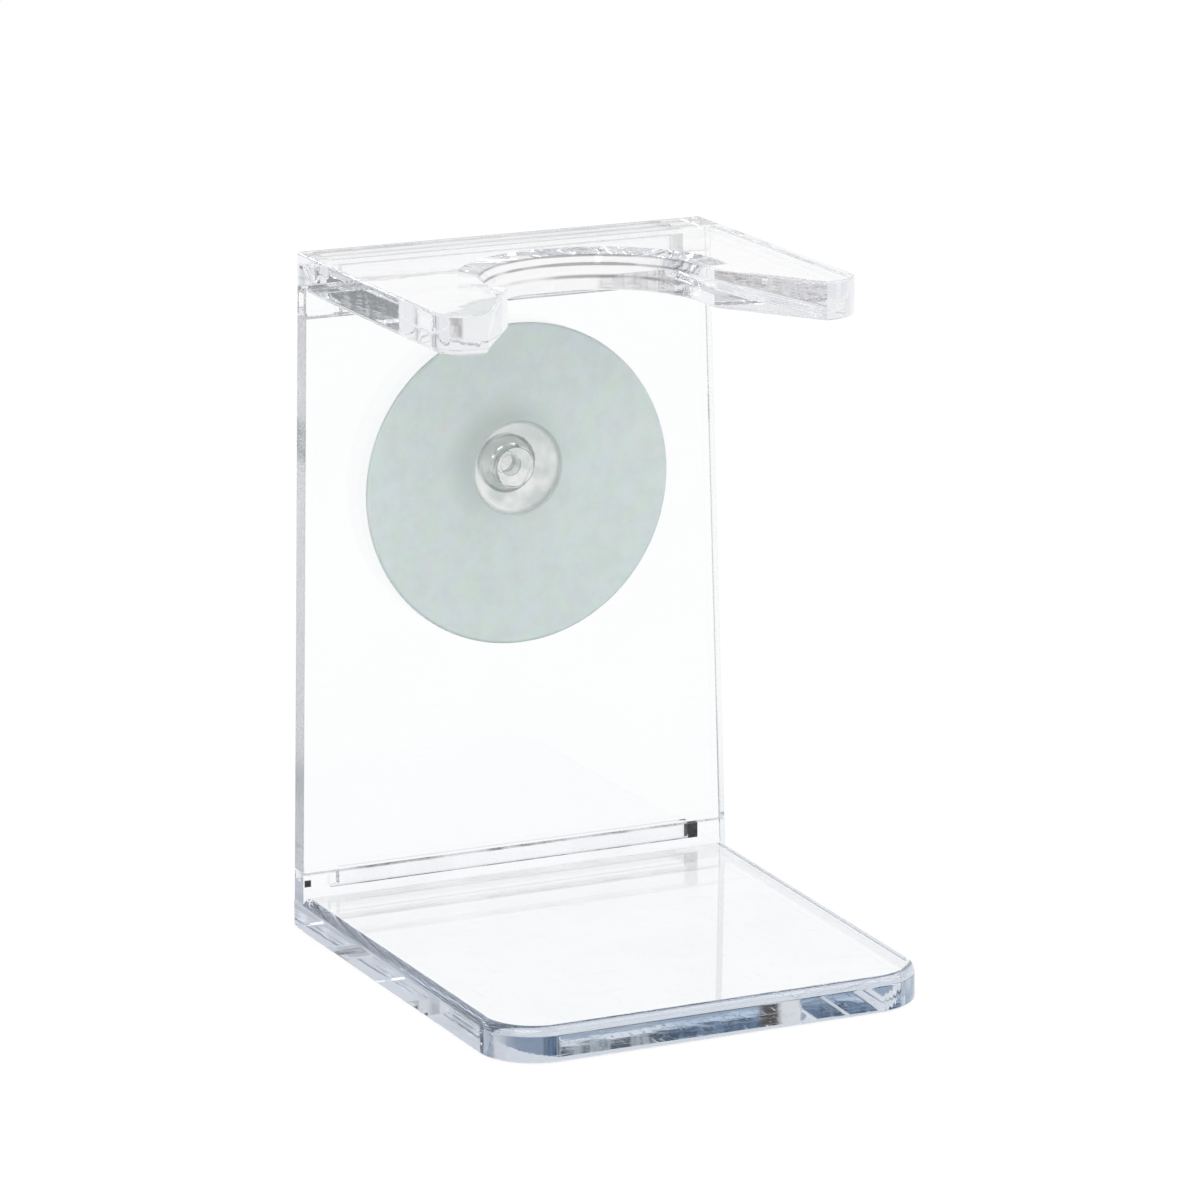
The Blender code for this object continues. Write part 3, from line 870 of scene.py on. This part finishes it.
class BuildCup(bpy.types.Operator):
    """Build the suction cup: disc, boss, neck and button in one surface"""

    bl_idname = "brush_stand.cup"
    bl_label = "Suction cup"

    def execute(self, context):
        cup = context.scene.brush_stand_cup
        profile, drop = self.profile(cup)
        piece = new_piece("soft_cup", revolved(profile, drop, count=160))
        look = vinyl("milky_vinyl", tuple(cup.colour), cup.boss_radius)
        dress(piece, look, "cup", "suction_cup", sharp=40, flats=False)
        return {"FINISHED"}

    @staticmethod
    def profile(cup):
        """Rows of (radius, distance behind the panel's back, drop), from the face's middle.

        The sucking side's depth falls off with the fourth power of the radius, the rim is a half
        circle, and the drop grows evenly over the face and dies away evenly over the back.
        """
        disc_back = -PANEL_THICKNESS - cup.back_gap
        disc_front = disc_back - cup.edge
        face = disc_front + cup.hollow + cup.boss_sink
        shoulder = -PANEL_THICKNESS - cup.boss_gap
        boss, neck, core = cup.boss_radius, cup.neck_radius, cup.core_radius
        half_edge = cup.edge / 2
        fillet = 0.1 * MM
        middle = np.array(
            [
                (0.0, face, 0.0),
                (0.5 * boss, face, 0.0),
                (boss - 0.15 * MM, face, 0.0),
                (boss - 0.03 * MM, face - 0.04 * MM, 0.0),
                (boss + 0.05 * MM, face - cup.boss_sink, 0.0),
            ]
        )
        share = np.linspace(0.04, 1.0, num=24)
        start = boss / cup.radius
        out = start + (1 - half_edge / cup.radius - start) * share
        dish = disc_front + cup.hollow * (1 - out**4)
        front = np.stack([cup.radius * out, dish, cup.drop * share], -1)
        t = np.linspace(-math.pi / 2, math.pi / 2, num=19)[1:]
        outer = cup.radius - half_edge
        rim = [outer + half_edge * np.cos(t), disc_back - half_edge + half_edge * np.sin(t)]
        rim = np.stack([*rim, np.full(len(t), cup.drop)], -1)
        share = np.linspace(0.1, 1.0, num=10)
        inner = boss + 0.3 * MM
        level = np.full(len(share), disc_back)
        back = [outer + (inner - outer) * share, level, cup.drop * (1 - share)]
        button = neck + cup.button_overhang
        end = cup.boss_gap + cup.button_height
        stem = np.array(
            [
                (boss, disc_back + fillet, 0.0),
                (boss, shoulder - fillet, 0.0),
                (boss - fillet, shoulder, 0.0),
                (neck + fillet, shoulder, 0.0),
                (neck, shoulder + fillet, 0.0),
                (neck, cup.boss_gap - fillet, 0.0),
                (neck + fillet, cup.boss_gap, 0.0),
                (button - fillet, cup.boss_gap, 0.0),
                (button, cup.boss_gap + fillet, 0.0),
            ]
        )
        t = np.linspace(0, math.pi / 2, num=12)
        r = cup.button_height / 2
        head = [button - r + r * np.cos(t), end - r + r * np.sin(t), np.zeros(len(t))]
        floor = end - cup.core_depth
        hollow = np.array(
            [
                (core + fillet, end, 0.0),
                (core, end - fillet, 0.0),
                (core, floor + fillet, 0.0),
                (core - fillet, floor, 0.0),
                (0.0, floor, 0.0),
            ]
        )
        back = np.stack(back, -1)
        head = np.stack(head, -1)
        rows = np.concatenate([middle, front, rim, back, stem, head, hollow])
        return rows[:, :2], rows[:, 2]


class BuildStudio(bpy.types.Operator):
    """Set up the floor, the soft light and the camera"""

    bl_idname = "brush_stand.studio"
    bl_label = "Studio"

    def execute(self, context):
        studio = context.scene.brush_stand_studio
        context.scene.view_settings.view_transform = "Standard"
        # Light guided in acrylic is mirrored many times, and each time is a glossy bounce
        context.scene.cycles.max_bounces = 64
        context.scene.cycles.transmission_bounces = 32
        context.scene.cycles.glossy_bounces = 64
        self.camera(context, studio)
        self.floor()
        self.world(context)
        self.soft_box("key", (-0.5, -0.5, 1.0), 0.8, studio.soft_light)
        self.soft_box("fill", (0.7, -0.3, 0.9), 0.8, studio.soft_light * 0.6)
        return {"FINISHED"}

    @staticmethod
    def camera(context, studio):
        """The photograph's camera: yaw and pitch say where it looks, and roll turns it there."""
        data = bpy.data.cameras.new("photo_camera")
        data.sensor_width = 36.0
        data.lens = studio.lens
        data.clip_start = 0.01
        data.clip_end = 50.0
        camera = bpy.data.objects.new("photo_camera", data)
        context.scene.collection.objects.link(camera)
        yaw, pitch, roll = studio.yaw, studio.pitch, studio.roll
        ahead = Vector(
            (math.sin(yaw) * math.cos(pitch), math.cos(yaw) * math.cos(pitch), -math.sin(pitch))
        )
        side = Vector((math.cos(yaw), -math.sin(yaw), 0.0))
        up = side.cross(ahead)
        right = math.cos(roll) * side + math.sin(roll) * up
        over = -math.sin(roll) * side + math.cos(roll) * up
        turn = Matrix((right, over, -ahead)).transposed().to_4x4()
        camera.matrix_world = Matrix.Translation(Vector(studio.eye)) @ turn
        context.scene.camera = camera

    @staticmethod
    def floor():
        """A white floor. Turned light sees a painted pale grey shade on it near the stand, and
        guided light a darker part, far from the stand and behind it.
        """
        half = 3.0
        floor = plain_block("floor", (-half, -half, -20.0 * MM), (half, half, -0.2 * MM))
        material, tree = new_material("white_floor")
        path = LightPath(tree)
        x, y, _ = tree.axes()
        reach = (x * x + y * y) ** 0.5
        beyond = tree.between(reach, 0.36, 0.40) * tree.fading(y, -0.1, 0.0)
        beyond = beyond * tree.between(x, 0.224, 0.230, 0.6, 1.0)
        # Painted shade on the floor near the stand, which light turned in the acrylic sees as pale
        # grey
        close_by = tree.fading(reach, 0.07, 0.10)
        streak = tree.noise(tree.place(), scale=220.0, detail=3.0, roughness=0.65)
        streak = tree.between(streak, 0.50, 0.64)
        dark = tree.blend(streak, (0.07, 0.10, 0.12, 1.0), (0.46, 0.45, 0.44, 1.0))
        colour = tree.blend(path.turned * close_by, WHITE, (0.90, 0.91, 0.93, 1.0))
        colour = tree.blend(path.guided * beyond, colour, dark)
        factor = path.seen * 0.9 + path.mirrored.largest(path.through) * 0.97
        paper = tree.node("ShaderNodeBsdfDiffuse", None, {"Color": (0.9, 0.9, 0.9, 1.0)})
        glow = tree.node("ShaderNodeEmission", None, {"Color": colour, "Strength": 1.0})
        surface = tree.mixed(factor, paper, glow)
        tree.node("ShaderNodeOutputMaterial", None, {"Surface": surface})
        floor.data.materials.append(material)

    @staticmethod
    def world(context):
        """White to the camera, a plain level to matt surfaces, a pale room inside the acrylic.

        x, y and z are the direction in which a ray leaves, and aside is x / y, which says how
        far to the right it passes of what stands straight behind. Only guided light sees the
        whole room. Light that was turned once sees the recess to the right, and else white.
        """
        world = bpy.data.worlds.new("soft_studio")
        world.use_nodes = True
        context.scene.world = world
        tree = Tree(world.node_tree)
        path = LightPath(tree)
        where = tree.node("ShaderNodeTexCoord", output="Generated")
        split = tree.node("ShaderNodeSeparateXYZ", None, {0: where}).socket.node
        x, y, z = (Value(tree, split.outputs[i]) for i in range(3))

        def streaks(scale, low, high, detail=3.0):
            """Noise in the ray's direction times scale, from 0 at low to 1 at high."""
            spread = tree.node("ShaderNodeMapping", None, {"Vector": where, "Scale": scale})
            spread = tree.noise(spread, scale=1.0, detail=detail, roughness=0.65)
            return tree.between(spread, low, high)

        def band(value, middle, full, none):
            """1 up to full on both sides of the middle, and 0 from none."""
            return tree.fading((value - middle).size(), full, none)

        # White walls with dull upright streaks, which are paler behind the stand
        side_dull = (0.62, 0.65, 0.70, 1.0)
        back_dull = (0.88, 0.90, 0.94, 1.0)
        dull = tree.blend(tree.between(y, 0.3, 0.6), side_dull, back_dull)
        walls = tree.blend(streaks((9.0, 9.0, 1.5), 0.42, 0.6), dull, WHITE)

        # A darker stretch in front, and a warm grey shelf to the left
        front = tree.fading(y, -0.6, -0.3) * band(z, 0.1, 0.25, 0.5)
        front = front * streaks((16.0, 16.0, 30.0), 0.45, 0.62)
        walls = tree.blend(front * 0.5, walls, (0.25, 0.28, 0.33, 1.0))
        left = tree.fading(x, -0.85, -0.7) * band(z, 0.2, 0.12, 0.2)
        left = left * tree.between(z, 0.1903, 0.1913, 1.0, 0.25)
        shelf = streaks((60.0, 60.0, 700.0), 0.42, 0.60)
        shelf = tree.blend(shelf, (0.42, 0.38, 0.385, 1.0), (0.92, 0.90, 0.90, 1.0))
        walls = tree.blend(left, walls, shelf)

        # What stands far behind: grey in the middle and steel blue at both sides
        aside = x / y
        steel = tree.between(aside, 0.466, 0.474).largest(tree.fading(aside, -0.1, 0.0))
        deep = tree.blend(steel, (0.07, 0.09, 0.12, 1.0), (0.01, 0.05, 0.12, 1.0))
        pale = tree.blend(steel, (0.42, 0.47, 0.50, 1.0), (0.11, 0.20, 0.32, 1.0))
        far = tree.blend(streaks((340.0, 340.0, 30.0), 0.45, 0.55, detail=2.0), deep, pale)

        # Its lower part is even and paler, and a bright line runs between the two
        edge = tree.between(aside, -0.1, 0.1, 0.3105, 0.3703) - aside.largest(0.0) * 0.117
        lower = tree.fading(z - edge, -0.0008, -0.0004)
        far = tree.blend(lower, far, (0.38, 0.47, 0.58, 1.0))
        far = tree.blend(tree.between(aside, 0.6, 0.7), far, (0.27, 0.345, 0.45, 1.0))
        glare = tree.blend(steel, (0.92, 0.96, 1.0, 1.0), (0.66, 0.76, 0.90, 1.0))
        far = tree.blend(band(z, edge, 0.0004, 0.0007), far, glare)

        # A window with a dark frame at its left
        frame_brown = (0.06, 0.045, 0.04, 1.0)
        pane_white = (0.95, 0.93, 0.90, 1.0)
        far = tree.blend(band(aside, 0.494, 0.0015, 0.0030), far, frame_brown)
        far = tree.blend(band(aside, 0.500, 0.0030, 0.0045), far, pane_white)

        # All of this shows behind the stand alone, above the height low, and fades at the top
        low = tree.between(x, -0.3, -0.1, 0.27, 0.306)
        behind = tree.between(y, 0.3, 0.6) * tree.between(z - low, 0.0, 0.004)
        behind = behind * tree.fading(z, 0.34, 0.42)
        room = tree.blend(behind, walls, far)

        # A warm grey recess to the right
        right = tree.between(aside, 0.78, 0.86) * tree.between(y, 0.2, 0.3)
        right = right * band(z, 0.2, 0.08, 0.15)
        recess = streaks((9.0, 9.0, 60.0), 0.40, 0.62)
        recess = tree.blend(recess, (0.52, 0.50, 0.50, 1.0), (0.88, 0.88, 0.90, 1.0))

        matt_level = (0.96, 0.96, 0.96, 1.0)
        shown = tree.blend(path.guided, tree.blend(path.turned * right, WHITE, recess), room)
        shown = tree.blend(path.mirrored.largest(path.through), matt_level, shown)
        shown = tree.blend(path.seen, shown, WHITE)
        back = tree.node("ShaderNodeBackground", None, {"Color": shown, "Strength": 1.0})
        tree.node("ShaderNodeOutputWorld", None, {"Surface": back})

    @staticmethod
    def soft_box(name, place, side, power):
        """A square lamp that is aimed at the middle of the stand."""
        data = bpy.data.lights.new(name, "AREA")
        data.shape = "SQUARE"
        data.size = side
        data.energy = power
        lamp = bpy.data.objects.new(name, data)
        bpy.context.scene.collection.objects.link(lamp)
        lamp.location = place
        aim = Vector((0.0, 0.0, 0.05)) - Vector(place)
        lamp.rotation_mode = "QUATERNION"
        lamp.rotation_quaternion = aim.to_track_quat("-Z", "Y")


class BrushStandPanel(bpy.types.Panel):
    """Lists the steps that build the stand"""

    bl_idname = "BRUSHSTAND_PT_steps"
    bl_label = "Brush Stand"
    bl_space_type = "VIEW_3D"
    bl_region_type = "UI"
    bl_category = "Brush Stand"

    def draw(self, context):
        for step in STEPS:
            self.layout.operator(step.bl_idname)


GROUPS = {
    "brush_stand_sizes": StandSizes,
    "brush_stand_base": BaseSizes,
    "brush_stand_fork": ForkSizes,
    "brush_stand_cup": CupSizes,
    "brush_stand_studio": StudioSettings,
}
STEPS = (BuildStudio, BuildBase, BuildPanel, BuildFork, BuildCup)


def register():
    for group in GROUPS.values():
        bpy.utils.register_class(group)
    for key, group in GROUPS.items():
        setattr(bpy.types.Scene, key, bpy.props.PointerProperty(type=group))
    for step in STEPS:
        bpy.utils.register_class(step)
    bpy.utils.register_class(BrushStandPanel)


def unregister():
    bpy.utils.unregister_class(BrushStandPanel)
    for step in reversed(STEPS):
        bpy.utils.unregister_class(step)
    for key in GROUPS:
        delattr(bpy.types.Scene, key)
    for group in reversed(GROUPS.values()):
        bpy.utils.unregister_class(group)


def main():
    register()
    bpy.ops.brush_stand.studio()
    bpy.ops.brush_stand.base()
    bpy.ops.brush_stand.panel()
    bpy.ops.brush_stand.fork()
    bpy.ops.brush_stand.cup()


if __name__ == "__main__":
    main()
